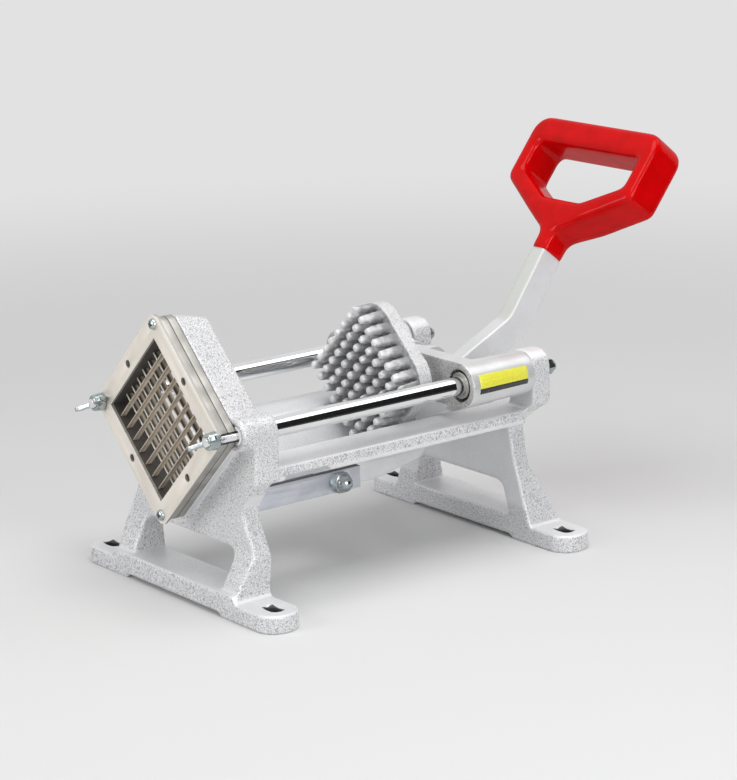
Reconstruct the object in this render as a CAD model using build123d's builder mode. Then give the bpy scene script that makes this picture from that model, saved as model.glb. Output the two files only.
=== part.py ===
from build123d import *
from math import cos, radians, sin, sqrt, tan
import os

# A hand-lever french fry cutter. Pulling the lever forward and down drives a
# toothed pusher along two guide rods and presses a potato through a blade grid
# that stands on its corner.
#
# X runs across the machine, Y from the blades to the lever, and Z up.
# The origin is on the bench, midway between the four foot holes. All lengths
# are millimetres, and the pieces are drawn with the lever thrown back.

os.makedirs("parts", exist_ok=True)

# Cutting axis and guide rods
axis_z = 119.4
rod_offset = 64.6
rod_diameter = 12.7
rod_chamfer = 0.8
stud_diameter = 6.0
front_stud_reach = 9.0
rear_stud_wall = 5.0
rod_washer_thickness = 1.5
rod_washer_diameter = 12.0
rod_nut_flats = 10.0
rod_nut_height = 7.5
acorn_bore_depth = 9.0
acorn_shoulder = 0.5
running_clearance = 0.05

# Feet and crossbars, the same on both frames
foot_pitch_x = 182.0
foot_pitch_y = 244.0
foot_slot_width = 8.0
foot_slot_length = 13.0
foot_reach = 16.0
foot_corner = 14.0
foot_edge = 1.5
foot_thickness = 12.0
foot_inner_edge = 54.0
crossbar_depth = 30.0
crossbar_lift = 2.5
crossbar_top = 16.5

# Front frame: a ring on its corner, two rod bosses, two legs
ring_lead = 6.5
ring_depth = 27.0
ring_side = 99.7
ring_corner = 9.0
ring_draft = 12.0
opening_side = 82.7
opening_corner = 8.0
rod_boss_radius = 10.5
shoulder_half_width = 75.0
shoulder_inner_edge = 52.0
shoulder_foot_z = 88.0
front_leg_setback = 8.0
front_leg_thickness = 13.5
front_waist = (57.0, 66.0)
front_knee = (71.5, 38.0)
front_ankle_half_width = 66.5
front_arch_half_width = 51.5
front_arch_foot_half_width = 49.0
front_arch_top = 41.0
front_toe_lead = 14.0
front_toe_top = 14.0
arch_radius = 8.0

# Rear frame: a flat web, two uprights for the rods, two flared legs
rear_web_thickness = 13.0
rear_web_top = 94.0
upright_setback = 2.5
upright_thickness = 15.0
upright_top = 134.0
upright_width = 25.0
upright_foot_z = 98.0
upright_corner = 11.0
rear_waist = (52.0, 80.0)
rear_thigh = (56.0, 58.0)
rear_ankle_half_width = 76.0
rear_arch_top = 39.0
rear_arch_half_width = 43.5
rear_arch_foot_half_width = 56.0
rear_heel_reach = 14.5
rear_heel_start = 50.0

# Bed: two flat decks, sloping trough walls, an open slot along the bottom
deck_top = 94.0
deck_half_width = 69.0
bed_wall = 5.0
rim_height = 10.0
trough_reach = 63.4
bed_slot_half_width = 15.0
rim_relief_start = 9.0
rim_relief_length = 35.0
rim_relief_height = 3.0
rear_web_depth = 6.5
rear_web_drop = 6.0

# Blade cartridge: cover plate, two frames back to back, two sets of blades
plate_side = 101.6
plate_corner = 7.0
plate_thickness = 2.0
blade_opening = 76.2
blade_frame_depth = 6.0
blade_pitch = 9.525
blades_per_set = 7
blade_thickness = 0.8
blade_depth = 5.0
blade_bevel = 1.2
blade_seat = 5.0
blade_gap = 0.2
plate_screw_offset = 62.9
plate_screw_diameter = 4.0
plate_screw_length = 13.0
screw_head_diameter = 7.4
screw_head_height = 2.6
plate_hole_diameter = 5.2
plate_hole_reach = 44.3
plate_hole_blind = 0.8
stud_notch_width = 7.0

# Wing nuts on the front studs
wing_hub_diameter = 12.0
wing_hub_height = 6.5
wing_root_reach = 8.0
wing_tip_reach = 15.5
wing_tip_width = 6.0
wing_tip_height = 5.0
wing_rise = 13.7
wing_thickness = 3.0
wing_angle = 25.0
wing_seat_gap = 0.3

# Carriage: two bored bosses, a crossbar, two lugs for the lever
boss_radius = 15.5
boss_length = 55.0
boss_draft = 1.0
carriage_bar_depth = 16.5
carriage_back_gap = 1.2
carriage_bar_edge = 4.0
boss_bore_diameter = 14.0
bushing_diameter = 18.0
bushing_length = 12.0
bushing_setback = 1.0
bushing_recess = 2.0
bushing_recess_diameter = 22.0
lug_radius = 13.0
lug_thickness = 8.0
lug_gap = 0.3
lever_slot_front = 7.7
label_inset = 6.0
label_length = 42.0
label_thickness = 0.15
label_from_angle = -16.0
label_to_angle = 33.0

# Pusher: a block on its corner with a grid of tapered pegs
pusher_side = 80.0
pusher_corner = 20.0
pusher_thickness = 10.5
pusher_hub_side = 58.0
pusher_hub_corner = 12.0
pusher_hub_depth = 8.8
peg_side = 8.0
peg_corner = 3.2
peg_length = 17.7
peg_draft = 5.0
peg_tip_height = 1.2
peg_tip_draft = 45.0
pusher_screw_offset = 30.0
pusher_screw_diameter = 5.0
pusher_screw_bite = 12.0
pusher_screw_head_diameter = 8.5
pusher_screw_head_height = 5.0

# Lever and hand grip
lever_half_thickness = 6.2
pivot_ahead_of_bar = 20.2
pivot_rise = 1.6
pivot_diameter = 10.0
pivot_eye_radius = 11.0
pivot_nut_flats = 16.0
pivot_nut_height = 8.0
pivot_head_height = 6.4
pivot_bolt_spare = 2.0
pivot_recess_radius = 10.5
pivot_recess_depth = 11.0
link_pivot_y = -9.1
link_pivot_z = 55.0
link_eye_radius = 8.5
lever_arm_width = 14.0
lever_heel = (69.0, 55.5)
lever_heel_run = 39.0
lever_calf = (84.0, 81.0)
lever_knee = (104.0, 95.5)
lever_elbow = (167.0, 126.1)
lever_inner_elbow = (149.0, 140.0)
lever_nape = (100.0, 116.5)
grip_start = (188.5, 178.6)
grip_angle = 51.5
grip_core_depth = 19.5
grip_front_swell = 3.0
grip_back_swell = 5.7
grip_swell_start = 10.0
grip_swell_end = 30.0
grip_swell_round = 15.0
grip_vinyl = 1.5
grip_neck_length = 15.0
grip_waist_s = 48.0
grip_top_s = 98.1
grip_half_width = 62.6
grip_rim = 10.0
grip_floor_s = 36.8
grip_floor_half_width = 19.0
grip_inner_waist_s = 54.8
grip_ceiling_s = 80.4
grip_edge_radius = 5.0

# Links between the front frame and the foot of the lever
link_gap = 0.3
link_washer_thickness = 1.0
link_washer_diameter = 15.0
link_thickness = 5.0
link_height = 15.0
link_tail = 18.6
link_anchor = (-93.5, 55.0)
link_bolt_diameter = 8.0
link_nut_flats = 13.0
link_nut_height = 6.5
link_nut_bore = 9.0
link_head_height = 5.3
anchor_half_width = 6.0
anchor_radius = 9.0

# Stations along Y that the pieces share
front_foot_y = -foot_pitch_y / 2
rear_foot_y = foot_pitch_y / 2
front_bar_y = front_foot_y - crossbar_depth / 2
rear_frame_y = rear_foot_y - crossbar_depth / 2
ring_front_y = front_foot_y - ring_lead
ring_rear_y = ring_front_y + ring_depth
front_leg_y = ring_front_y + front_leg_setback
front_web_rear_y = front_leg_y + front_leg_thickness
upright_front_y = rear_frame_y + upright_setback
upright_rear_y = upright_front_y + upright_thickness
rod_rear_y = upright_rear_y - rear_stud_wall
rear_blade_y = ring_front_y - blade_frame_depth
front_blade_y = rear_blade_y - blade_frame_depth
plate_y = front_blade_y - plate_thickness
carriage_rear_y = upright_front_y - carriage_back_gap
carriage_front_y = carriage_rear_y - boss_length
carriage_bar_rear_y = carriage_front_y + carriage_bar_depth
pusher_rear_y = carriage_front_y - pusher_hub_depth
pusher_front_y = pusher_rear_y - pusher_thickness
lever_slot_y = carriage_front_y + lever_slot_front
pivot_y = carriage_front_y + pivot_ahead_of_bar
pivot_z = axis_z + pivot_rise
lug_inner_x = lever_half_thickness + lug_gap
lug_outer_x = lug_inner_x + lug_thickness
washer_x = lever_half_thickness + link_gap
link_inner_x = washer_x + link_washer_thickness
link_outer_x = link_inner_x + link_thickness


def upright(y):
    """Upright plane at a station, facing the rear, with local y along Z."""
    return Plane(origin=(0, y, 0), x_dir=(-1, 0, 0), z_dir=(0, 1, 0))


def diamond(y):
    """Upright plane on the cutting axis, turned 45 degrees, facing the rear."""
    return Plane(origin=(0, y, axis_z), x_dir=(-1, 0, 1), z_dir=(0, 1, 0))


def station(x, y, z, facing=1):
    """Plane at a point, facing the rear (1) or the front (-1)."""
    return Plane(origin=(x, y, z), x_dir=(-facing, 0, 0), z_dir=(0, facing, 0))


def sideways(x, y, z, facing=1):
    """Plane at a point, facing +X (1) or -X (-1)."""
    return Plane(origin=(x, y, z), x_dir=(0, facing, 0), z_dir=(facing, 0, 0))


def half_outline(plane, points, radii):
    """Face between an open outline that starts and ends at X = 0 and its mirror image."""
    with BuildSketch(plane, mode=Mode.PRIVATE) as outline:
        with BuildLine():
            FilletPolyline(*points, radius=radii)
            mirror(about=Plane.YZ)
        make_face()
    return outline.sketch


def rounded_square(plane, side, corner):
    """Square face with rounded corners, centred on a plane."""
    with BuildSketch(plane, mode=Mode.PRIVATE) as square:
        RectangleRounded(side, side, corner)
    return square.sketch


def foot_bar(y):
    """Crossbar on two foot pads with slotted bolt holes, centred on a station."""
    tip = foot_pitch_x / 2 + foot_reach
    bar_end = foot_inner_edge + foot_thickness
    with BuildPart(mode=Mode.PRIVATE) as bar:
        with BuildSketch():
            with Locations((0, y)):
                RectangleRounded(2 * tip, crossbar_depth, foot_corner)
        extrude(amount=foot_thickness)
        fillet(bar.edges().group_by(Axis.Z)[-1], foot_edge)
        bar_points = [
            (0, crossbar_top),
            (bar_end, crossbar_top),
            (bar_end + crossbar_top - foot_thickness, foot_thickness),
            (bar_end, crossbar_lift),
            (0, crossbar_lift),
        ]
        extrude(half_outline(upright(y), bar_points, [2, 0.5, 0.5]), amount=crossbar_depth / 2, both=True)
        relief_points = [
            (0, crossbar_lift),
            (foot_inner_edge - crossbar_lift, crossbar_lift),
            (foot_inner_edge, 0),
            (0, 0),
        ]
        relief_face = half_outline(upright(y), relief_points, [0.5, 0.1])
        extrude(relief_face, amount=crossbar_depth, both=True, mode=Mode.SUBTRACT)
        with BuildSketch():
            with Locations((-foot_pitch_x / 2, y), (foot_pitch_x / 2, y)):
                SlotOverall(foot_slot_length, foot_slot_width)
        extrude(amount=foot_thickness, mode=Mode.SUBTRACT)
    return bar.part


def bed_profile(plane):
    """Section of the bed: a deck, its outer rim and one sloping trough wall a side."""
    slope = sqrt(2)
    wall_top_x = trough_reach - (axis_z - deck_top)
    slot_z = axis_z - trough_reach + bed_slot_half_width
    underside_x = wall_top_x - bed_wall + bed_wall * slope
    points = [
        (bed_slot_half_width, slot_z),
        (wall_top_x, deck_top),
        (deck_half_width, deck_top),
        (deck_half_width, deck_top - rim_height),
        (deck_half_width - bed_wall, deck_top - rim_height),
        (deck_half_width - bed_wall, deck_top - bed_wall),
        (underside_x, deck_top - bed_wall),
        (bed_slot_half_width, slot_z - bed_wall * slope),
    ]
    with BuildSketch(plane, mode=Mode.PRIVATE) as section:
        with BuildLine():
            FilletPolyline(*points, radius=1.5, close=True)
        make_face()
        mirror(about=Plane.YZ)
    return section.sketch


def acorn_nut(plane, across_flats, height, bore, bore_depth):
    """Acorn nut on a plane: a hexagon, a round dome and a blind bore."""
    dome_radius = across_flats / 2 - acorn_shoulder
    with BuildPart(mode=Mode.PRIVATE) as nut:
        with BuildSketch(plane):
            RegularPolygon(across_flats / 2, 6, major_radius=False)
        extrude(amount=height)
        with Locations(plane.offset(height)):
            Sphere(dome_radius)
        with BuildSketch(-plane):
            Rectangle(4 * dome_radius, 4 * dome_radius)
        extrude(amount=2 * dome_radius, mode=Mode.SUBTRACT)
        with BuildSketch(plane):
            Circle(bore / 2)
        extrude(amount=bore_depth, mode=Mode.SUBTRACT)
    return nut.part


# Front frame. The tapered ring, the shoulders round the rods and the root of the
# bed are cast together with two legs that spread to a crossbar and a pair of feet.
with BuildPart() as front_frame:
    leg_points = [
        (0, axis_z),
        (shoulder_half_width, axis_z),
        (shoulder_half_width, shoulder_foot_z),
        front_waist,
        front_knee,
        (front_ankle_half_width, crossbar_lift),
        (front_arch_foot_half_width, crossbar_lift),
        (front_arch_half_width, front_arch_top),
        (0, front_arch_top),
    ]
    leg_face = half_outline(upright(front_bar_y), leg_points, [0.5, 9, 12, 9, 0.5, 0.5, arch_radius])
    extrude(leg_face, amount=front_web_rear_y - front_bar_y)
    toe_y = front_leg_y - front_toe_lead
    with BuildSketch(Plane.YZ):
        with BuildLine():
            Polyline(
                (front_web_rear_y, 0),
                (front_web_rear_y, axis_z),
                (front_leg_y, axis_z),
                (front_leg_y, front_arch_top),
                (toe_y, front_toe_top),
                (toe_y, 0),
                close=True,
            )
        make_face()
    extrude(amount=shoulder_half_width, both=True, mode=Mode.INTERSECT)

    add(foot_bar(front_foot_y))
    ring_face = rounded_square(diamond(ring_front_y), ring_side, ring_corner)
    extrude(ring_face, amount=ring_depth, taper=ring_draft)
    for side in (-1, 1):
        with BuildSketch(station(side * rod_offset, ring_front_y, axis_z)):
            Circle(rod_boss_radius)
        extrude(amount=ring_depth)
    shoulder_points = [
        (shoulder_inner_edge, axis_z),
        (shoulder_half_width, axis_z),
        (shoulder_half_width, shoulder_foot_z),
        (shoulder_inner_edge, shoulder_foot_z - rim_height),
    ]
    with BuildSketch(upright(front_leg_y)):
        with BuildLine():
            Polyline(*shoulder_points, close=True)
        make_face()
        mirror(about=Plane.YZ)
    extrude(amount=ring_rear_y - front_leg_y)
    extrude(bed_profile(upright(front_web_rear_y)), amount=ring_rear_y - front_web_rear_y)

    extrude(
        rounded_square(diamond(ring_front_y), opening_side, opening_corner),
        amount=ring_depth,
        mode=Mode.SUBTRACT,
    )
    for side in (-1, 1):
        with BuildSketch(station(side * rod_offset, ring_front_y, axis_z)):
            Circle(rod_diameter / 2)
        extrude(amount=ring_depth, mode=Mode.SUBTRACT)
    anchor_y, anchor_z = link_anchor
    with BuildSketch(Plane.YZ):
        with Locations(link_anchor):
            Circle(anchor_radius)
        with Locations(((anchor_y + front_web_rear_y) / 2, anchor_z)):
            Rectangle(anchor_y - front_web_rear_y, 2 * anchor_radius)
        with Locations(link_anchor):
            Circle(link_bolt_diameter / 2 + running_clearance, mode=Mode.SUBTRACT)
    extrude(amount=anchor_half_width, both=True)
front_frame.part.label = "front_frame"
export_step(front_frame.part, "parts/front_frame.step")


# Bed. Two decks joined by sloping walls that cradle the potato and leave a slot
# along the bottom for the links, closed at the rear by a low web.
with BuildPart() as bed:
    extrude(bed_profile(upright(ring_rear_y)), amount=rear_frame_y - ring_rear_y)
    relief_y = ring_rear_y + rim_relief_start + rim_relief_length / 2
    for side in (-1, 1):
        rim_x = side * (deck_half_width - bed_wall / 2)
        with BuildSketch(Plane.XY.offset(deck_top - rim_height)):
            with Locations((rim_x, relief_y)):
                Rectangle(bed_wall + 1, rim_relief_length)
        extrude(amount=rim_relief_height, mode=Mode.SUBTRACT)
    slot_z = axis_z - trough_reach + bed_slot_half_width
    web_points = [
        (0, slot_z + rear_web_drop),
        (bed_slot_half_width + rear_web_drop, slot_z + rear_web_drop),
        (bed_slot_half_width, slot_z),
        (bed_slot_half_width, slot_z - bed_wall),
        (0, slot_z - bed_wall),
    ]
    web_face = half_outline(upright(rear_frame_y - rear_web_depth), web_points, [0.5, 0.5, 0.5])
    extrude(web_face, amount=rear_web_depth)
bed.part.label = "bed"
export_step(bed.part, "parts/bed.step")

# Rear frame. A flat web carries two uprights for the rods and stands on legs that
# flare to a second crossbar and pair of feet.
with BuildPart() as rear_frame:
    rear_points = [
        (0, rear_web_top),
        (shoulder_half_width - upright_width, rear_web_top),
        (shoulder_half_width - upright_width, upright_top),
        (shoulder_half_width, upright_top),
        (shoulder_half_width, upright_foot_z),
        rear_waist,
        rear_thigh,
        (rear_ankle_half_width, crossbar_lift),
        (rear_arch_foot_half_width, crossbar_lift),
        (rear_arch_half_width, rear_arch_top),
        (0, rear_arch_top),
    ]
    rear_radii = [4, upright_corner, upright_corner, 4, 8, 20, 0.5, 0.5, arch_radius]
    extrude(half_outline(upright(rear_frame_y), rear_points, rear_radii), amount=crossbar_depth)
    web_rear_y = rear_frame_y + rear_web_thickness
    with BuildSketch(Plane.YZ):
        with BuildLine():
            FilletPolyline(
                (rear_frame_y, 0),
                (rear_frame_y, rear_web_top),
                (upright_front_y, rear_web_top),
                (upright_front_y, upright_top),
                (upright_rear_y, upright_top),
                (upright_rear_y, upright_foot_z),
                (web_rear_y, upright_foot_z - 2 * (upright_rear_y - web_rear_y)),
                (web_rear_y, rear_heel_start),
                (web_rear_y + rear_heel_reach, crossbar_top),
                (web_rear_y + rear_heel_reach, 0),
                radius=0.8,
                close=True,
            )
        make_face()
    extrude(amount=rear_ankle_half_width, both=True, mode=Mode.INTERSECT)
    add(foot_bar(rear_foot_y))
    for side in (-1, 1):
        with BuildSketch(station(side * rod_offset, rear_frame_y, axis_z)):
            Circle(rod_diameter / 2)
        extrude(amount=rod_rear_y - rear_frame_y, mode=Mode.SUBTRACT)
        with BuildSketch(station(side * rod_offset, rear_frame_y, axis_z)):
            Circle(stud_diameter / 2)
        extrude(amount=upright_rear_y - rear_frame_y, mode=Mode.SUBTRACT)
rear_frame.part.label = "rear_frame"
export_step(rear_frame.part, "parts/rear_frame.step")

# Cover plate. A stainless square on its corner with a square window, two screw
# holes, four plain holes and an open notch at each side corner for a stud.
with BuildPart() as cover_plate:
    with BuildSketch(diamond(plate_y)):
        RectangleRounded(plate_side, plate_side, plate_corner)
        Rectangle(blade_opening, blade_opening, mode=Mode.SUBTRACT)
        with PolarLocations(plate_hole_reach, 4):
            Circle(plate_hole_diameter / 2, mode=Mode.SUBTRACT)
    extrude(amount=plate_thickness)
    with BuildSketch(upright(plate_y)):
        with Locations((0, axis_z - plate_screw_offset), (0, axis_z + plate_screw_offset)):
            Circle(plate_screw_diameter / 2)
        for side in (-1, 1):
            with Locations((side * rod_offset, axis_z)):
                Circle(stud_notch_width / 2)
            with Locations((side * (rod_offset + stud_notch_width), axis_z)):
                Rectangle(2 * stud_notch_width, stud_notch_width)
    extrude(amount=plate_thickness, mode=Mode.SUBTRACT)
cover_plate.part.label = "cover_plate"
export_step(cover_plate.part, "parts/cover_plate.step")

# Blade frames. The front one is slotted from its rear face and the rear one from
# its front face, so each holds its blades on edge against the other frame. Their
# slots cross at right angles.
front_slot_y = rear_blade_y - blade_depth
front_spread = (-1, 0, 1)
rear_spread = (1, 0, 1)
blade_frames = {
    "blade_frame_front": (front_blade_y, front_slot_y, front_spread),
    "blade_frame_rear": (rear_blade_y, rear_blade_y, rear_spread),
}
for name, (frame_y, slot_y, spread) in blade_frames.items():
    with BuildPart() as blade_frame:
        with BuildSketch(diamond(frame_y)):
            RectangleRounded(ring_side, ring_side, ring_corner)
            Rectangle(blade_opening, blade_opening, mode=Mode.SUBTRACT)
        extrude(amount=blade_frame_depth)
        with BuildSketch(Plane(origin=(0, slot_y, axis_z), x_dir=spread, z_dir=(0, 1, 0))):
            with GridLocations(blade_pitch, 0, blades_per_set, 1):
                Rectangle(blade_thickness, blade_opening + 2 * blade_seat)
        extrude(amount=blade_depth, mode=Mode.SUBTRACT)
        with BuildSketch(diamond(front_blade_y)):
            with PolarLocations(plate_hole_reach, 4):
                Circle(plate_hole_diameter / 2)
        extrude(amount=plate_hole_blind, mode=Mode.SUBTRACT)
        with BuildSketch(upright(frame_y)):
            with Locations((0, axis_z - plate_screw_offset), (0, axis_z + plate_screw_offset)):
                Circle(plate_screw_diameter / 2)
            for side in (-1, 1):
                with Locations((side * rod_offset, axis_z)):
                    Circle(stud_notch_width / 2)
                with Locations((side * (rod_offset + stud_notch_width), axis_z)):
                    Rectangle(2 * stud_notch_width, stud_notch_width)
        extrude(amount=blade_frame_depth, mode=Mode.SUBTRACT)
    blade_frame.part.label = name
    export_step(blade_frame.part, f"parts/{name}.step")


def blade_section(depth):
    """Section of one blade: local x across its thickness, local y toward its edge."""
    with BuildSketch(mode=Mode.PRIVATE) as section:
        with BuildLine():
            Polyline(
                (-blade_thickness / 2, 0),
                (blade_thickness / 2, 0),
                (blade_thickness / 2, depth - blade_bevel),
                (0, depth),
                (-blade_thickness / 2, depth - blade_bevel),
                close=True,
            )
        make_face()
    return section.sketch


# Blades. Each set is seven straight strips, sharpened on the edge that meets the
# potato. The two sets cross at right angles and cut square sticks.
front_set = Plane(origin=(0, front_slot_y, axis_z), x_dir=front_spread, z_dir=(-1, 0, -1))
rear_set = Plane(origin=(0, rear_blade_y, axis_z), x_dir=rear_spread, z_dir=(-1, 0, 1))
blade_sets = {
    "blades_front": (front_set, blade_depth - blade_gap),
    "blades_rear": (rear_set, blade_depth),
}
for name, (plane, depth) in blade_sets.items():
    with BuildPart() as blades:
        with BuildSketch(plane):
            with GridLocations(blade_pitch, 0, blades_per_set, 1):
                add(blade_section(depth))
        extrude(amount=blade_opening / 2 + blade_seat, both=True)
    blades.part.label = name
    export_step(blades.part, f"parts/{name}.step")

# Cartridge screws. Two pan-head screws clamp the plate and both blade frames.
with BuildPart() as cartridge_screws:
    for side in (-1, 1):
        head_plane = station(0, plate_y, axis_z + side * plate_screw_offset, facing=-1)
        with BuildSketch(head_plane):
            Circle(screw_head_diameter / 2)
        extrude(amount=screw_head_height)
        fillet(cartridge_screws.faces().sort_by(Axis.Y)[0].edges(), screw_head_height / 2)
        with BuildSketch(-head_plane):
            Circle(plate_screw_diameter / 2)
        extrude(amount=plate_screw_length)
cartridge_screws.part.label = "cartridge_screws"
export_step(cartridge_screws.part, "parts/cartridge_screws.step")

# Guide rods and what holds them. Each rod has a stud at both ends: the front one
# carries a wing nut over the cover plate, the rear one a washer and an acorn nut.
for side, hand in ((-1, "left"), (1, "right")):
    rod_x = side * rod_offset
    with BuildPart() as guide_rod:
        with BuildSketch(station(rod_x, ring_front_y, axis_z)):
            Circle(rod_diameter / 2)
        extrude(amount=rod_rear_y - ring_front_y)
        chamfer(guide_rod.edges().group_by(Axis.Y)[0], rod_chamfer)
        with BuildSketch(station(rod_x, plate_y - front_stud_reach, axis_z)):
            Circle(stud_diameter / 2)
        extrude(amount=ring_front_y - plate_y + front_stud_reach)
        with BuildSketch(station(rod_x, rod_rear_y, axis_z)):
            Circle(stud_diameter / 2)
        extrude(amount=rear_stud_wall + rod_washer_thickness + acorn_bore_depth)
    guide_rod.part.label = f"guide_rod_{hand}"
    export_step(guide_rod.part, f"parts/guide_rod_{hand}.step")

    # The two wings are one leaf shape and its mirror image, standing on a round hub.
    wing_points = [
        (0, 0),
        (wing_root_reach, 0),
        (wing_tip_reach, wing_rise - wing_tip_height),
        (wing_tip_reach - wing_tip_width / 3, wing_rise),
        (wing_tip_reach - wing_tip_width, wing_rise - wing_tip_height / 3),
        (0, wing_hub_height - 1),
    ]
    wing_turn = radians(wing_angle)
    wing_plane = Plane(
        origin=(rod_x, plate_y - wing_seat_gap, axis_z),
        x_dir=(cos(wing_turn), 0, sin(wing_turn)),
        z_dir=(sin(wing_turn), 0, -cos(wing_turn)),
    )
    with BuildPart() as wing_nut:
        with BuildSketch(station(rod_x, plate_y - wing_seat_gap, axis_z, facing=-1)):
            Circle(wing_hub_diameter / 2)
        extrude(amount=wing_hub_height, taper=6)
        wing_face = half_outline(wing_plane, wing_points, [2, 3, 1.5, 2])
        extrude(wing_face, amount=wing_thickness / 2, both=True)
        with BuildSketch(station(rod_x, plate_y, axis_z, facing=-1)):
            Circle(stud_diameter / 2 + running_clearance)
        extrude(amount=2 * wing_rise, mode=Mode.SUBTRACT)
    wing_nut.part.label = f"wing_nut_{hand}"
    export_step(wing_nut.part, f"parts/wing_nut_{hand}.step")

with BuildPart() as rod_washers:
    with BuildSketch(station(0, upright_rear_y, axis_z)):
        with Locations((-rod_offset, 0), (rod_offset, 0)):
            Circle(rod_washer_diameter / 2)
            Circle(stud_diameter / 2, mode=Mode.SUBTRACT)
    extrude(amount=rod_washer_thickness)
rod_washers.part.label = "rod_washers"
export_step(rod_washers.part, "parts/rod_washers.step")

with BuildPart() as rod_acorn_nuts:
    for side in (-1, 1):
        nut_plane = station(side * rod_offset, upright_rear_y + rod_washer_thickness, axis_z)
        add(acorn_nut(nut_plane, rod_nut_flats, rod_nut_height, stud_diameter, acorn_bore_depth))
rod_acorn_nuts.part.label = "rod_acorn_nuts"
export_step(rod_acorn_nuts.part, "parts/rod_acorn_nuts.step")

# Carriage. One casting: a rounded crossbar ending in two long bosses that run on
# the rods, with a pair of lugs behind it that hold the lever.
with BuildPart() as carriage_casting:
    with BuildSketch(station(0, carriage_front_y, axis_z)):
        SlotCenterToCenter(2 * rod_offset, 2 * boss_radius)
    extrude(amount=carriage_bar_depth, taper=boss_draft)
    back_face = carriage_casting.faces().sort_by(Axis.Y)[-1]
    fillet(back_face.edges(), carriage_bar_edge)
    for side in (-1, 1):
        with BuildSketch(station(side * rod_offset, carriage_front_y, axis_z)):
            Circle(boss_radius)
        extrude(amount=boss_length, taper=boss_draft)
    with BuildSketch(Plane.YZ):
        with Locations((pivot_y, pivot_z)):
            Circle(lug_radius)
        with Locations(((carriage_front_y + pivot_y) / 2 + carriage_bar_edge / 2, pivot_z)):
            Rectangle(pivot_y - carriage_front_y - carriage_bar_edge, 2 * lug_radius)
    extrude(amount=lug_outer_x, both=True)
    with BuildSketch(Plane.YZ.offset(-lug_inner_x)):
        with Locations((lever_slot_y + boss_length / 2, axis_z)):
            Rectangle(boss_length, 4 * boss_radius)
    extrude(amount=2 * lug_inner_x, mode=Mode.SUBTRACT)
    with BuildSketch(Plane.YZ):
        with Locations((pivot_y, pivot_z)):
            Circle(pivot_diameter / 2)
    extrude(amount=lug_outer_x, both=True, mode=Mode.SUBTRACT)
    for side in (-1, 1):
        with BuildSketch(sideways(side * lug_outer_x, pivot_y, pivot_z)):
            Circle(pivot_recess_radius)
        extrude(amount=side * pivot_recess_depth, mode=Mode.SUBTRACT)
    with BuildSketch(station(0, carriage_front_y, axis_z)):
        with Locations((-pusher_screw_offset, 0), (pusher_screw_offset, 0)):
            Circle(pusher_screw_diameter / 2)
    extrude(amount=carriage_bar_depth, mode=Mode.SUBTRACT)
    for side in (-1, 1):
        for end_y, facing in ((carriage_front_y, 1), (carriage_rear_y, -1)):
            with BuildSketch(station(side * rod_offset, end_y, axis_z, facing)):
                Circle(boss_bore_diameter / 2)
            extrude(amount=boss_length, mode=Mode.SUBTRACT)
            with BuildSketch(station(side * rod_offset, end_y, axis_z, facing)):
                Circle(bushing_diameter / 2)
            extrude(amount=bushing_setback + bushing_length, mode=Mode.SUBTRACT)
            with BuildSketch(station(side * rod_offset, end_y, axis_z, facing)):
                Circle(bushing_recess_diameter / 2)
            extrude(amount=bushing_recess, mode=Mode.SUBTRACT)
carriage_casting.part.label = "carriage_casting"
export_step(carriage_casting.part, "parts/carriage_casting.step")

with BuildPart() as rod_bushings:
    for side in (-1, 1):
        for end_y, facing in ((carriage_front_y, 1), (carriage_rear_y, -1)):
            with BuildSketch(station(side * rod_offset, end_y + facing * bushing_setback, axis_z, facing)):
                Circle(bushing_diameter / 2)
                Circle(rod_diameter / 2 + running_clearance, mode=Mode.SUBTRACT)
            extrude(amount=bushing_length)
rod_bushings.part.label = "rod_bushings"
export_step(rod_bushings.part, "parts/rod_bushings.step")

# Label. A plain film band wrapped round the outer side of the right boss.
label_taper = tan(radians(boss_draft))
label_front_radius = boss_radius - label_inset * label_taper
label_rear_radius = label_front_radius - label_length * label_taper
label_front_y = carriage_front_y + label_inset
with BuildPart() as carriage_label:
    label_turn = radians(label_from_angle)
    label_plane = Plane(
        origin=(rod_offset, label_front_y, axis_z),
        x_dir=(cos(label_turn), 0, sin(label_turn)),
        z_dir=(-sin(label_turn), 0, cos(label_turn)),
    )
    with BuildSketch(label_plane):
        with BuildLine():
            Polyline(
                (label_front_radius, 0),
                (label_front_radius + label_thickness, 0),
                (label_rear_radius + label_thickness, label_length),
                (label_rear_radius, label_length),
                close=True,
            )
        make_face()
    rod_axis = Axis((rod_offset, 0, axis_z), (0, -1, 0))
    revolve(axis=rod_axis, revolution_arc=label_to_angle - label_from_angle)
carriage_label.part.label = "carriage_label"
export_step(carriage_label.part, "parts/carriage_label.step")

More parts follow.
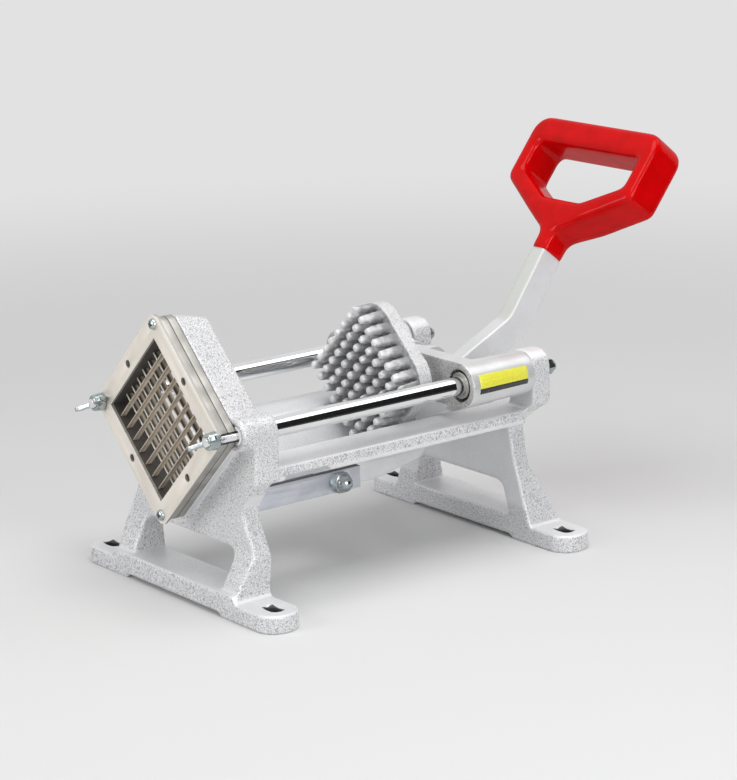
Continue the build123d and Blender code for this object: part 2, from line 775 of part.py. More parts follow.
# Pusher. A square block on its corner with one tapered peg for each opening of
# the blade grid, so the pegs pass between the blades at the end of the stroke.
# A smaller square hub behind it meets the carriage.
with BuildPart() as pusher_block:
    shank_length = peg_length - peg_tip_height
    shank_taper = shank_length * tan(radians(peg_draft))
    with BuildSketch(-diamond(pusher_front_y)):
        with GridLocations(blade_pitch, blade_pitch, blades_per_set + 1, blades_per_set + 1):
            RectangleRounded(peg_side, peg_side, peg_corner)
    extrude(amount=shank_length, taper=peg_draft)
    with BuildSketch(-diamond(pusher_front_y - shank_length)):
        with GridLocations(blade_pitch, blade_pitch, blades_per_set + 1, blades_per_set + 1):
            tip_side = peg_side - 2 * shank_taper
            RectangleRounded(tip_side, tip_side, peg_corner - shank_taper)
    extrude(amount=peg_tip_height, taper=peg_tip_draft)
    peg_bounds = rounded_square(-diamond(pusher_front_y), pusher_side, pusher_corner)
    extrude(peg_bounds, amount=peg_length, mode=Mode.INTERSECT)
    extrude(rounded_square(diamond(pusher_front_y), pusher_side, pusher_corner), amount=pusher_thickness)
    hub_face = rounded_square(diamond(pusher_rear_y), pusher_hub_side, pusher_hub_corner)
    extrude(hub_face, amount=pusher_hub_depth)
    with BuildSketch(station(0, carriage_front_y, axis_z, facing=-1)):
        with Locations((-pusher_screw_offset, 0), (pusher_screw_offset, 0)):
            Circle(pusher_screw_diameter / 2)
    extrude(amount=pusher_screw_bite, mode=Mode.SUBTRACT)
pusher_block.part.label = "pusher_block"
export_step(pusher_block.part, "parts/pusher_block.step")

with BuildPart() as pusher_screws:
    for side in (-1, 1):
        with BuildSketch(station(side * pusher_screw_offset, carriage_bar_rear_y, axis_z)):
            Circle(pusher_screw_head_diameter / 2)
        extrude(amount=pusher_screw_head_height)
        with BuildSketch(station(side * pusher_screw_offset, carriage_bar_rear_y, axis_z, facing=-1)):
            Circle(pusher_screw_diameter / 2)
        extrude(amount=carriage_bar_depth + pusher_screw_bite)
pusher_screws.part.label = "pusher_screws"
export_step(pusher_screws.part, "parts/pusher_screws.step")

# Lever pivot. A hexagon bolt through both lugs and the eye of the lever.
with BuildPart() as lever_pivot_bolt:
    with BuildSketch(sideways(-lug_outer_x, pivot_y, pivot_z)):
        Circle(pivot_diameter / 2)
    extrude(amount=2 * lug_outer_x + pivot_nut_height + pivot_bolt_spare)
    with BuildSketch(sideways(-lug_outer_x, pivot_y, pivot_z, facing=-1)):
        RegularPolygon(pivot_nut_flats / 2, 6, major_radius=False)
    extrude(amount=pivot_head_height)
lever_pivot_bolt.part.label = "lever_pivot_bolt"
export_step(lever_pivot_bolt.part, "parts/lever_pivot_bolt.step")

with BuildPart() as lever_pivot_nut:
    with BuildSketch(sideways(lug_outer_x, pivot_y, pivot_z)):
        RegularPolygon(pivot_nut_flats / 2, 6, major_radius=False)
        Circle(pivot_diameter / 2, mode=Mode.SUBTRACT)
    extrude(amount=pivot_nut_height)
lever_pivot_nut.part.label = "lever_pivot_nut"
export_step(lever_pivot_nut.part, "parts/lever_pivot_nut.step")


def grip_loop(skin):
    """Face of the D-shaped loop on the grip's plane, thickened all round by a skin."""
    outer_points = [
        (0, -grip_neck_length),
        (lever_half_thickness, -grip_neck_length),
        (lever_half_thickness, grip_neck_length),
        (grip_half_width, grip_waist_s),
        (grip_half_width, grip_top_s),
        (0, grip_top_s),
    ]
    inner_points = [
        (0, grip_floor_s),
        (grip_floor_half_width, grip_floor_s),
        (grip_half_width - grip_rim, grip_inner_waist_s),
        (grip_half_width - grip_rim, grip_ceiling_s),
        (0, grip_ceiling_s),
    ]
    outer_face = half_outline(Plane.XY, outer_points, [0.1, 8, 6, 12])
    inner_face = half_outline(Plane.XY, inner_points, [6, 6, 6])
    with BuildSketch(mode=Mode.PRIVATE) as loop:
        add(outer_face)
        if skin > 0:
            offset(amount=skin)
            inner_face = offset(inner_face, amount=-skin, mode=Mode.PRIVATE)
        with Locations((0, -grip_half_width)):
            Rectangle(2 * grip_half_width, 2 * grip_half_width, mode=Mode.SUBTRACT)
        add(inner_face, mode=Mode.SUBTRACT)
    return loop.sketch


def grip_solid(skin):
    """The loop given its depth, which swells from the neck to the bars, with rounded edges."""
    turn = radians(grip_angle)
    loop_origin = (0, *grip_start)
    loop_plane = Plane(origin=loop_origin, x_dir=(1, 0, 0), z_dir=(0, -sin(turn), cos(turn)))
    side_plane = Plane(origin=loop_origin, x_dir=(0, cos(turn), sin(turn)), z_dir=(1, 0, 0))
    neck = grip_core_depth / 2 + skin
    front = neck + grip_front_swell
    rear = neck + grip_back_swell
    reach = grip_half_width + grip_top_s
    with BuildPart(mode=Mode.PRIVATE) as loop:
        with BuildSketch(loop_plane):
            add(grip_loop(skin))
        extrude(amount=rear, both=True)
        with BuildSketch(side_plane):
            with BuildLine():
                FilletPolyline(
                    (-reach, neck),
                    (grip_swell_start, neck),
                    (grip_swell_end, front),
                    (reach, front),
                    (reach, -rear),
                    (grip_swell_end, -rear),
                    (grip_swell_start, -neck),
                    (-reach, -neck),
                    radius=2 * [0.1, grip_swell_round, grip_swell_round, 0.1],
                    close=True,
                )
            make_face()
        extrude(amount=reach, both=True, mode=Mode.INTERSECT)
        broad_faces = [face for face in loop.faces() if abs(face.normal_at().dot(loop_plane.z_dir)) > 0.5]
        edges = [edge for face in broad_faces for edge in face.edges()]
        rims = [edge for edge in edges if edges.count(edge) == 1]
        rims = [edge for edge in rims if loop_plane.to_local_coords(edge.center()).Y > 0.1]
        fillet(rims, grip_edge_radius - grip_vinyl + skin)
    return loop.part


# Lever. A cast bell crank: an eye for the links, a cranked arm up to the pivot eye
# between the carriage lugs, a long bent arm and the loop inside the hand grip.
with BuildPart() as lever_casting:
    arm_half = lever_arm_width / 2
    turn = radians(grip_angle)
    half_core_y = grip_core_depth / 2 * sin(turn)
    half_core_z = grip_core_depth / 2 * cos(turn)
    start_y, start_z = grip_start
    throat_y = pivot_y - pivot_eye_radius
    with BuildSketch(Plane.YZ):
        with BuildLine():
            FilletPolyline(
                (link_pivot_y, link_pivot_z - arm_half),
                (lever_heel[0] - lever_heel_run, link_pivot_z - arm_half),
                lever_heel,
                lever_calf,
                lever_knee,
                lever_elbow,
                (start_y + half_core_y, start_z - half_core_z),
                (start_y - half_core_y, start_z + half_core_z),
                lever_inner_elbow,
                lever_nape,
                (pivot_y, pivot_z + pivot_eye_radius),
                (throat_y, pivot_z),
                (throat_y, link_pivot_z + arm_half),
                (link_pivot_y, link_pivot_z + arm_half),
                radius=[0.5, 30, 12, 30, 40, 16, 0.1, 0.1, 18, 12, 0.5, 0.5, 9, 0.5],
                close=True,
            )
        make_face()
        with Locations((pivot_y, pivot_z)):
            Circle(pivot_eye_radius)
        with Locations((link_pivot_y, link_pivot_z)):
            Circle(link_eye_radius)
        with Locations((pivot_y, pivot_z)):
            Circle(pivot_diameter / 2 + running_clearance, mode=Mode.SUBTRACT)
        with Locations((link_pivot_y, link_pivot_z)):
            Circle(link_bolt_diameter / 2 + running_clearance, mode=Mode.SUBTRACT)
    extrude(amount=lever_half_thickness, both=True)
    add(grip_solid(0))
lever_casting.part.label = "lever_casting"
export_step(lever_casting.part, "parts/lever_casting.step")

# Hand grip. Vinyl dipped over the loop, the same thickness all round.
with BuildPart() as hand_grip:
    add(grip_solid(grip_vinyl))
    add(grip_solid(0), mode=Mode.SUBTRACT)
hand_grip.part.label = "hand_grip"
export_step(hand_grip.part, "parts/hand_grip.step")

# Links. Two flat bars tie the foot of the lever to the front frame, one on each
# side of the lever, and give it the point it levers against.
anchor_y, anchor_z = link_anchor
for side, hand in ((-1, "left"), (1, "right")):
    with BuildPart() as link_bar:
        with BuildSketch(sideways(side * link_inner_x, 0, 0)):
            with Locations(((anchor_y + link_pivot_y + link_tail) / 2, link_pivot_z)):
                Rectangle(link_pivot_y + link_tail - anchor_y, link_height)
            with Locations(link_anchor):
                Circle(link_height / 2)
            with Locations(link_anchor, (link_pivot_y, link_pivot_z)):
                Circle(link_bolt_diameter / 2, mode=Mode.SUBTRACT)
        extrude(amount=side * link_thickness)
    link_bar.part.label = f"link_bar_{hand}"
    export_step(link_bar.part, f"parts/link_bar_{hand}.step")

with BuildPart() as link_washers:
    for side in (-1, 1):
        with BuildSketch(sideways(side * washer_x, link_pivot_y, link_pivot_z)):
            Circle(link_washer_diameter / 2)
            Circle(link_bolt_diameter / 2, mode=Mode.SUBTRACT)
        extrude(amount=side * link_washer_thickness)
link_washers.part.label = "link_washers"
export_step(link_washers.part, "parts/link_washers.step")

with BuildPart() as link_rear_bolt:
    with BuildSketch(sideways(-link_outer_x, link_pivot_y, link_pivot_z)):
        Circle(link_bolt_diameter / 2)
    extrude(amount=2 * link_outer_x + link_nut_bore)
    with BuildSketch(sideways(-link_outer_x, link_pivot_y, link_pivot_z, facing=-1)):
        RegularPolygon(link_nut_flats / 2, 6, major_radius=False)
    extrude(amount=link_head_height)
link_rear_bolt.part.label = "link_rear_bolt"
export_step(link_rear_bolt.part, "parts/link_rear_bolt.step")

with BuildPart() as link_rear_nut:
    nut_plane = sideways(link_outer_x, link_pivot_y, link_pivot_z)
    add(acorn_nut(nut_plane, link_nut_flats, link_nut_height, link_bolt_diameter, link_nut_bore))
link_rear_nut.part.label = "link_rear_nut"
export_step(link_rear_nut.part, "parts/link_rear_nut.step")

# Front link bolt, as two halves that stop just short of the frame's lug.
with BuildPart() as link_front_bolt:
    half_length = link_outer_x - anchor_half_width - link_gap
    with BuildSketch(sideways(-link_outer_x, anchor_y, anchor_z)):
        Circle(link_bolt_diameter / 2)
    extrude(amount=half_length)
    with BuildSketch(sideways(-link_outer_x, anchor_y, anchor_z, facing=-1)):
        RegularPolygon(link_nut_flats / 2, 6, major_radius=False)
    extrude(amount=link_head_height)
    with BuildSketch(sideways(link_outer_x - half_length, anchor_y, anchor_z)):
        Circle(link_bolt_diameter / 2)
    extrude(amount=half_length + link_nut_height)
link_front_bolt.part.label = "link_front_bolt"
export_step(link_front_bolt.part, "parts/link_front_bolt.step")

with BuildPart() as link_front_nut:
    with BuildSketch(sideways(link_outer_x, anchor_y, anchor_z)):
        RegularPolygon(link_nut_flats / 2, 6, major_radius=False)
        Circle(link_bolt_diameter / 2, mode=Mode.SUBTRACT)
    extrude(amount=link_nut_height)
link_front_nut.part.label = "link_front_nut"
export_step(link_front_nut.part, "parts/link_front_nut.step")
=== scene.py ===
import bmesh
import bpy
from math import cos, pi, radians, sin, tan
from mathutils import Matrix, Vector
from mathutils.noise import noise


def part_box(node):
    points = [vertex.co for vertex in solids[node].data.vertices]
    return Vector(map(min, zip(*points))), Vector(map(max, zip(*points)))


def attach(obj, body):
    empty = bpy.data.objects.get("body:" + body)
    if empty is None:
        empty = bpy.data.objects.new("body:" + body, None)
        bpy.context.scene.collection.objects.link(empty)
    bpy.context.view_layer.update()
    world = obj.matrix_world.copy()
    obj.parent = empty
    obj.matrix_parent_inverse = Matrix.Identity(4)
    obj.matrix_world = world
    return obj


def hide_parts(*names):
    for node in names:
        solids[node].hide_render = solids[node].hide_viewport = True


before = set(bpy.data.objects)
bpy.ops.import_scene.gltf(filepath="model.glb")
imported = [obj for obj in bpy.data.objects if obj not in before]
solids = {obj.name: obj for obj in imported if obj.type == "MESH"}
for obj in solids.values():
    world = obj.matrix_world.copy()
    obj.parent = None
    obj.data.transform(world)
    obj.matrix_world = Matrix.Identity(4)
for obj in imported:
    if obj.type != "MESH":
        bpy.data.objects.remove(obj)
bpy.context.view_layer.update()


# Body: one aluminium sand casting that carries the ring, the bed and four feet. It
# is finished in silver hammertone, a metallic coat that dries in fine dark specks.
# Some faces carry fewer specks, partly a smoother coat and partly painted light, and
# the opening in the ring is painted dark as painted shade.


class Wire:
    """One output socket. Arithmetic on it adds Math nodes to its material."""

    def __init__(self, socket):
        self.socket = socket

    def node(self, kind, settings, sockets, output=0):
        """Adds a node, sets it up, then gives its sockets values or wires."""
        tree = self.socket.id_data
        added = tree.nodes.new("ShaderNode" + kind)
        for name, value in settings.items():
            setattr(added, name, value)
        for key, value in sockets.items():
            if isinstance(value, Wire):
                tree.links.new(value.socket, added.inputs[key])
            elif added.inputs[key].type == "RGBA":
                added.inputs[key].default_value = (*value, 1)
            else:
                added.inputs[key].default_value = value
        return Wire(added.outputs[output])

    def math(self, operation, first, second):
        """The result of a Math node on two values."""
        return self.node("Math", {"operation": operation}, {0: first, 1: second})

    def __add__(self, other):
        return self.math("ADD", self, other)

    def __radd__(self, other):
        return self.math("ADD", other, self)

    def __sub__(self, other):
        return self.math("SUBTRACT", self, other)

    def __rsub__(self, other):
        return self.math("SUBTRACT", other, self)

    def __mul__(self, other):
        return self.math("MULTIPLY", self, other)

    def __rmul__(self, other):
        return self.math("MULTIPLY", other, self)

    def __pow__(self, other):
        return self.math("POWER", self, other)

    def __abs__(self):
        return self.math("ABSOLUTE", self, 0)

    def rise(self, low, high):
        """A mask: 0 at low, 1 at high, eased in between. It falls where low is the larger."""
        sockets = {"Value": self, "From Min": low, "From Max": high}
        return self.node("MapRange", {"interpolation_type": "SMOOTHSTEP"}, sockets)

    def below(self, level, fade):
        """A mask: 1 below a level, eased out over a short stretch above it."""
        return self.rise(level + fade, level)

    def between(self, first, second):
        """The first colour where this mask is 0, the second where it is 1."""
        factor, first_colour, second_colour, mixed_colour = 0, 6, 7, 2
        sockets = {factor: self, first_colour: first, second_colour: second}
        return self.node("Mix", {"data_type": "RGBA"}, sockets, output=mixed_colour)

    def stretched(self, x, y, z):
        """These points scaled along each axis."""
        return self.node("VectorMath", {"operation": "MULTIPLY"}, {0: self, 1: (x, y, z)})

    def noise(self, size, detail=2.0, roughness=0.5):
        """Soft noise over these points, with lumps of a size in metres."""
        sockets = {"Vector": self, "Scale": 1 / size, "Detail": detail, "Roughness": roughness}
        return self.node("TexNoise", {}, sockets)

    def bump(self, height):
        """A surface raised by a height in metres over these points."""
        return self.node("Bump", {}, {"Height": height, "Distance": 1.0, "Strength": 1.0})

    def axis(self, index):
        """One coordinate of these points."""
        return self.node("SeparateXYZ", {}, {"Vector": self}, output=index)

    def faces(self, index):
        """How far the surface faces along one axis, from -1 to 1."""
        return self.node("TexCoord", {}, {}, output="Normal").axis(index)


def finish(name, paint):
    """A material. Paint takes the wire of points in metres and returns the surface's sockets."""
    material = bpy.data.materials.new(name)
    material.use_nodes = True
    tree = material.node_tree
    tree.nodes.clear()
    points = Wire(tree.nodes.new("ShaderNodeTexCoord").outputs["Object"])
    surface = points.node("BsdfPrincipled", {}, paint(points))
    output = tree.nodes.new("ShaderNodeOutputMaterial")
    tree.links.new(surface.socket, output.inputs["Surface"])
    return material


def place(name, mesh, body, slot, material, *stands_for):
    """Adds a mesh as a piece that rides on a body and stands for some of the solids."""
    piece = bpy.data.objects.new(name, mesh)
    bpy.context.scene.collection.objects.link(piece)
    mesh.materials.clear()
    mesh.materials.append(material)
    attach(piece, body)
    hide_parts(*stands_for)


def shaded(shape, name, sharpest=35):
    """The mesh of a shape, smooth but for edges sharper than an angle in degrees."""
    mesh = bpy.data.meshes.new(name)
    shape.to_mesh(mesh)
    shape.free()
    mesh.shade_smooth()
    mesh.set_sharp_from_angle(angle=radians(sharpest))
    return mesh


def joined(*nodes):
    """The solids of some nodes in one shape."""
    shape = bmesh.new()
    for node in nodes:
        shape.from_mesh(solids[node].data)
    return shape


def cast(shape, name, grain, easing, kept=0.4, lump_size=0.004, lump_height=0.00005, swell=0.0):
    """A shape as a casting: one skin of even facets, its edges worn round, a little uneven.

    Grain is the size of the facets, easing how often they are smoothed, and kept the share
    of them that is left. Swell makes up for what the smoothing takes off thin parts.
    """
    rough = bpy.data.objects.new(name, shaded(shape, name))
    bpy.context.scene.collection.objects.link(rough)
    skin = rough.modifiers.new("skin", "REMESH")
    skin.mode = "VOXEL"
    skin.voxel_size = grain
    worn = rough.modifiers.new("worn", "SMOOTH")
    worn.iterations = easing
    thinned = rough.modifiers.new("thinned", "DECIMATE")
    thinned.ratio = kept
    graph = bpy.context.evaluated_depsgraph_get()
    mesh = bpy.data.meshes.new_from_object(rough.evaluated_get(graph))
    bpy.data.objects.remove(rough)
    moved = []
    for vertex in mesh.vertices:
        sunk = lump_height * (1 + noise(vertex.co / lump_size)) / 2
        moved.append(vertex.co + vertex.normal * (swell - sunk))
    for vertex, moved_to in zip(mesh.vertices, moved):
        vertex.co = moved_to
    mesh.shade_smooth()
    return mesh


axis_z = 0.1194
opening_reach = 0.0592
ring_rear_y = -0.1015
bed_start_y = -0.1
rear_web_y = 0.1
rear_frame_y = 0.107
web_foot_z = 0.028
foot_top_z = 0.025
rim_foot_z = 0.0865
underside_half_width = 0.066
foot_slot_x = 0.091
foot_slot_y = 0.122
foot_slot_half_length = 0.0066
foot_slot_half_width = 0.0041
foot_slot_fade = 0.0003
seam_overlap = 0.001

silver_shades = ((0.77, 0.775, 0.79), (0.83, 0.835, 0.845))
speck_grey = (0.42, 0.42, 0.435)
fleck_grey = (0.27, 0.27, 0.285)
opening_shade_tones = ((0.10, 0.092, 0.082), (0.19, 0.175, 0.155))
slot_shadow = (0.06, 0.056, 0.052)
coat_lump_height = 0.00012


def hammertone_paint(points):
    across = abs(points.axis(0))
    along = points.axis(1)
    height = points.axis(2)
    slot_length = abs(across - foot_slot_x).below(foot_slot_half_length, foot_slot_fade)
    slot_width = abs(abs(along) - foot_slot_y).below(foot_slot_half_width, foot_slot_fade)
    # The opening in the ring is painted dark, as painted shade, with a mottle.
    off_axis = across + abs(height - axis_z)
    in_ring = along.below(ring_rear_y - 0.001, fade=0.002)
    opening = off_axis.below(opening_reach, fade=0.0006) * in_ring
    behind_ring = along.rise(bed_start_y, bed_start_y + 0.002)
    # Tops, the rear web, undersides and the bed's low sides get fewer dark specks: partly a
    # smoother coat, partly painted light.
    top = points.faces(2).rise(0.4, 0.7) * (behind_ring + height.below(foot_top_z, fade=0.005))
    web_stretch = along.rise(rear_web_y - 0.02, rear_web_y)
    web_height = height.rise(web_foot_z - 0.006, web_foot_z)
    web = points.faces(1).rise(-0.5, -0.8) * web_stretch * web_height
    under = points.faces(2).rise(-0.3, -0.6) * across.below(underside_half_width, fade=0.002)
    bed_stretch = behind_ring * along.below(rear_frame_y - 0.002, fade=0.002)
    low_side = height.below(rim_foot_z, fade=0.002) * bed_stretch
    smoother_and_lit = (top + web + under + low_side).rise(0.0, 1.0)
    specks = points.noise(0.0007, roughness=0.65).rise(0.48, 0.58) * (1.0 - 0.78 * smoother_and_lit)
    flecks = points.noise(0.0017, roughness=0.6).rise(0.59, 0.65) * (0.75 - 0.65 * smoother_and_lit)
    clouds = points.noise(0.03, detail=3.0).rise(0.3, 0.7)
    speckled = specks.between(clouds.between(*silver_shades), speck_grey)
    flecked = flecks.between(speckled, fleck_grey)
    shade_mottle = points.noise(0.002, detail=3.0, roughness=0.6).rise(0.3, 0.7)
    opening_shaded = opening.between(flecked, shade_mottle.between(*opening_shade_tones))
    fine_lumps = points.noise(0.0009, roughness=0.6) * coat_lump_height
    broad_lumps = points.noise(0.006, detail=1.0) * coat_lump_height
    return {
        "Base Color": (slot_length * slot_width).between(opening_shaded, slot_shadow),
        "Metallic": 0.3 - 0.15 * specks,
        "Roughness": 0.44 + 0.14 * specks + 0.1 * opening,
        "Normal": points.bump((fine_lumps + broad_lumps) * (1 - 0.6 * smoother_and_lit)),
        "Coat Weight": 0.12,
        "Coat Roughness": 0.3,
    }


# The bed is drawn out a little at both ends, so that one skin grows over its seams.
bed_low, bed_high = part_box("bed")
bed_shape = joined("bed")
for vertex in bed_shape.verts:
    if vertex.co.y < bed_low[1] + seam_overlap:
        vertex.co.y -= seam_overlap
    if vertex.co.y > bed_high[1] - seam_overlap:
        vertex.co.y += seam_overlap
body_shape = joined("front_frame", "rear_frame")
body_shape.from_mesh(shaded(bed_shape, "bed_between_frames"))
body_mesh = cast(body_shape, "body_casting", grain=0.0011, easing=5, kept=0.35)
hammertone = finish("silver_hammertone", hammertone_paint)
body_nodes = ("front_frame", "bed", "rear_frame")
place("body_casting", body_mesh, "frame", "hammertone_casting", hammertone, *body_nodes)


# Cover plate: stamped stainless sheet over the blades, brushed and polished, with fine
# lines along one diagonal and light scuffs across them. Its edge faces are painted
# darker, as painted shade.

sheet_shades = ((0.84, 0.79, 0.72), (0.77, 0.72, 0.65))
rim_painted_shade = (0.42, 0.41, 0.385)


def stainless_paint(points):
    lines = points.stretched(1, 30, 0.035).noise(0.0004, detail=3.0, roughness=0.6)
    smudge = points.noise(0.022, detail=3.0).rise(0.35, 0.7)
    scuffs = points.stretched(0.12, 1, 1).noise(0.0009, roughness=0.4).rise(0.66, 0.72)
    # The faces that don't face front or back are painted darker, as painted shade.
    rim = abs(points.faces(1)).rise(0.7, 0.4)
    return {
        "Base Color": rim.between(smudge.between(*sheet_shades), rim_painted_shade),
        "Metallic": 0.6,
        "Roughness": 0.36 + 0.14 * lines + 0.08 * smudge + 0.12 * scuffs,
        "Normal": points.bump(lines * 0.000012),
    }


same_point = 1e-6
flat_angle = radians(0.5)
edge_angle = radians(30)


def eased(node, name, radius, steps=2, sharpest=35):
    """A copy of a solid with its flat facets joined and its edges rounded to a radius."""
    shape = joined(node)
    bmesh.ops.remove_doubles(shape, verts=shape.verts, dist=same_point)
    bmesh.ops.dissolve_limit(shape, angle_limit=flat_angle, verts=shape.verts, edges=shape.edges)
    closed_edges = [edge for edge in shape.edges if edge.is_manifold]
    bmesh.ops.bevel(
        shape,
        geom=[edge for edge in closed_edges if edge.calc_face_angle() > edge_angle],
        offset=radius,
        segments=steps,
        profile=0.5,
        affect="EDGES",
        clamp_overlap=True,
    )
    return shaded(shape, name, sharpest)


stainless = finish("polished_sheet", stainless_paint)
plate_mesh = eased("cover_plate", "cover_plate_sheet", radius=0.0003)
place("cover_plate_sheet", plate_mesh, "frame", "stainless_plate", stainless, "cover_plate")


# Blade frames: two machined frames clamped back to back behind the plate. Their sides
# keep the fine lines of the milling cutter, dirt darkens the seams, and the window is
# painted dark as painted shade.

front_blade_y = -0.1405
rear_blade_y = -0.1345
ring_front_y = -0.1285
window_reach = 0.0546
frame_seams = ((front_blade_y, 0.0003), (rear_blade_y, 0.0003), (ring_front_y, 0.0004))
seam_fade = 0.0002

milled_shades = ((0.36, 0.35, 0.325), (0.50, 0.485, 0.455))
seam_dirt_and_window_shade = (0.13, 0.12, 0.11)


def milled_paint(points):
    off_axis = abs(points.axis(0)) + abs(points.axis(2) - axis_z)
    window = off_axis.below(window_reach, fade=0.0006)
    lines = points.stretched(0.03, 1, 0.03).noise(0.0005, detail=3.0, roughness=0.6)
    cloud = points.noise(0.012).rise(0.3, 0.7)
    # The window is painted dark as painted shade, and dirt darkens the seams.
    dirt_and_shade = window
    for seam_y, half_width in frame_seams:
        dirt_and_shade += abs(points.axis(1) - seam_y).below(half_width, seam_fade)
    return {
        "Base Color": dirt_and_shade.rise(0.0, 1.0).between(cloud.between(*milled_shades), seam_dirt_and_window_shade),
        "Metallic": 0.8,
        "Roughness": 0.42 + 0.2 * lines + 0.14 * window,
        "Normal": points.bump(lines * 0.00003),
    }


milled = finish("milled_metal", milled_paint)
for blade_frame in ("blade_frame_front", "blade_frame_rear"):
    mesh = eased(blade_frame, f"{blade_frame}_block", radius=0.0005)
    place(f"{blade_frame}_block", mesh, "frame", "frame_metal", milled, blade_frame)


# Blades: thin strips of stainless steel, ground to an edge and seated in the slots of
# the frames. The edges are painted bright, partly ground steel and partly a painted
# highlight, and the flanks carry painted shade, darkest just behind the edge.

ground_edge_highlight = (0.97, 0.95, 0.90)
stain_brown = (0.30, 0.25, 0.19)
shade_start = 0.0014
shade_end = 0.0038


def blade_paint(edge_y, edge_depth, near_shade, far_lit):
    """The paint of one set, whose front edges stand at edge_y and are painted bright to a depth,
    partly as a painted highlight.

    Near and deep colour the flanks: painted shade just behind the edge, and their lit colour
    farther in.
    """

    def paint(points):
        along = points.axis(1)
        # The front edges get a painted highlight, partly bright ground steel, and the flanks behind
        # them get painted shade.
        edge = along.rise(edge_y + edge_depth, edge_y + 0.6 * edge_depth)
        lines = points.stretched(1, 0.05, 1).noise(0.0003, roughness=0.6)
        stain = points.noise(0.006, detail=3.0).rise(0.4, 0.7)
        shade_falloff = along.rise(edge_y + shade_start, edge_y + shade_end)
        flank = (stain * 0.3).between(shade_falloff.between(near_shade, far_lit), stain_brown)
        return {
            "Base Color": edge.between(flank, ground_edge_highlight),
            "Metallic": 0.3 - 0.3 * edge,
            "Roughness": 0.36 + 0.2 * lines + 0.1 * stain,
            "Normal": points.bump(lines * 0.00001),
        }

    return paint


front_paint = blade_paint(
    front_blade_y,
    edge_depth=0.0009,
    near_shade=(0.48, 0.41, 0.33),
    far_lit=(0.88, 0.79, 0.66),
)
rear_paint = blade_paint(
    rear_blade_y,
    edge_depth=0.0007,
    near_shade=(0.08, 0.065, 0.05),
    far_lit=(0.78, 0.68, 0.55),
)
for blades, paint in (("blades_front", front_paint), ("blades_rear", rear_paint)):
    ground = finish(f"{blades}_ground_steel", paint)
    mesh = eased(blades, f"{blades}_strips", radius=0.00006, steps=1, sharpest=20)
    place(f"{blades}_strips", mesh, "frame", "blade_steel", ground, blades)


# Cartridge screws: two pan-head screws with a cross recess that clamp the plate and
# the blade frames to the ring, zinc plated and passivated to a faint blue sheen.

plate_y = -0.1425
screw_offset = 0.0629
head_radius = 0.0037
head_height = 0.0026
head_rings = 14
head_fullness = 4
recess_half_width = 0.00055
recess_reach = 0.0021
recess_depth = 0.0014

zinc_shades = ((0.34, 0.40, 0.43), (0.50, 0.53, 0.52))


def zinc_paint(points):
    cloud = points.noise(0.004).rise(0.3, 0.7)
    grain = points.noise(0.0005, roughness=0.6)
    return {
        "Base Color": cloud.between(*zinc_shades),
        "Metallic": 1.0,
        "Roughness": 0.12 + 0.2 * grain,
        "Normal": points.bump(grain * 0.00002),
    }


zinc = finish("zinc_plate", zinc_paint)


def plated(name, mesh, body, node):
    """Adds a zinc plated piece that stands for a node."""
    place(name, mesh, body, "zinc_fastener", zinc, node)


def stacked(rings, direction, centre, sides=72):
    """A closed shape of rings round a direction, each with its reach and its height.

    Either may be a function of the angle.
    """
    shape = bmesh.new()
    rows = []
    for reach, height in rings:
        row = []
        for side in range(sides):
            angle = 2 * pi * side / sides
            out = reach(angle) if callable(reach) else reach
            up = height(angle) if callable(height) else height
            row.append(shape.verts.new((out * cos(angle), out * sin(angle), up)))
        rows.append(row)
    for lower, upper in zip(rows, rows[1:]):
        for side in range(sides):
            after = (side + 1) % sides
            shape.faces.new((lower[side], lower[after], upper[after], upper[side]))
    shape.faces.new(rows[0][::-1])
    shape.faces.new(rows[-1])
    z_axis = Vector(direction)
    x_axis = Vector((0, 0, 1)).cross(z_axis)
    axes = Matrix((x_axis, z_axis.cross(x_axis), z_axis)).transposed().to_4x4()
    shape.transform(Matrix.Translation(centre) @ axes)
    return shape


def merged(shapes, name, sharpest=25):
    """One mesh of several shapes, smooth but for edges sharper than an angle in degrees."""
    whole = bmesh.new()
    for number, shape in enumerate(shapes):
        whole.from_mesh(shaded(shape, f"{name}_{number}"))
    return shaded(whole, name, sharpest)


def pan_head(centre):
    """A domed head with a cross recess: rings whose height drops inside the cross."""
    rings = []
    for ring in range(head_rings):
        reach = head_radius * cos(pi / 2 * ring / head_rings)
        dome = head_height * (1 - (reach / head_radius) ** head_fullness) ** 0.5

        def height(angle, reach=reach, dome=dome):
            x = abs(reach * cos(angle))
            y = abs(reach * sin(angle))
            inside = min(x, y) < recess_half_width and max(x, y) < recess_reach
            return dome - recess_depth * inside

        rings.append((reach, height))
    return stacked(rings, (0, -1, 0), centre)


heads = [pan_head((0, plate_y, axis_z + side * screw_offset)) for side in (-1, 1)]
screw_mesh = merged(heads, "cartridge_screw_heads", sharpest=40)
plated("cartridge_screw_heads", screw_mesh, "frame", "cartridge_screws")


# Guide rods: hard-chromed steel, ground and polished, with faint lines along them. A
# threaded stud stands out of the front end, and one at the rear runs through the upright.

rod_offset = 0.0646
rod_radius = 0.00635
rod_start = ring_front_y
rod_end = 0.1195
rod_chamfer = 0.0008
rod_sides = 64
stud_radius = 0.003
stud_start = -0.1515
stud_end = 0.1345
thread_pitch = 0.001
thread_depth = 0.0006
thread_steps = 6
thread_tip_depth = 1.5 * thread_depth

chrome_shades = ((0.86, 0.87, 0.88), (0.78, 0.78, 0.77))


def thread(length, radius):
    """Rings of a screw thread of a length, whose tip is turned down."""
    rings = [(radius - thread_tip_depth, 0)]
    for ring in range(1, round(length / thread_pitch * thread_steps) + 1):
        height = ring * thread_pitch / thread_steps

        def reach(angle, height=height):
            turn = (height / thread_pitch + angle / (2 * pi)) % 1
            return radius - thread_depth * abs(2 * turn - 1)

        rings.append((reach, height))
    return rings


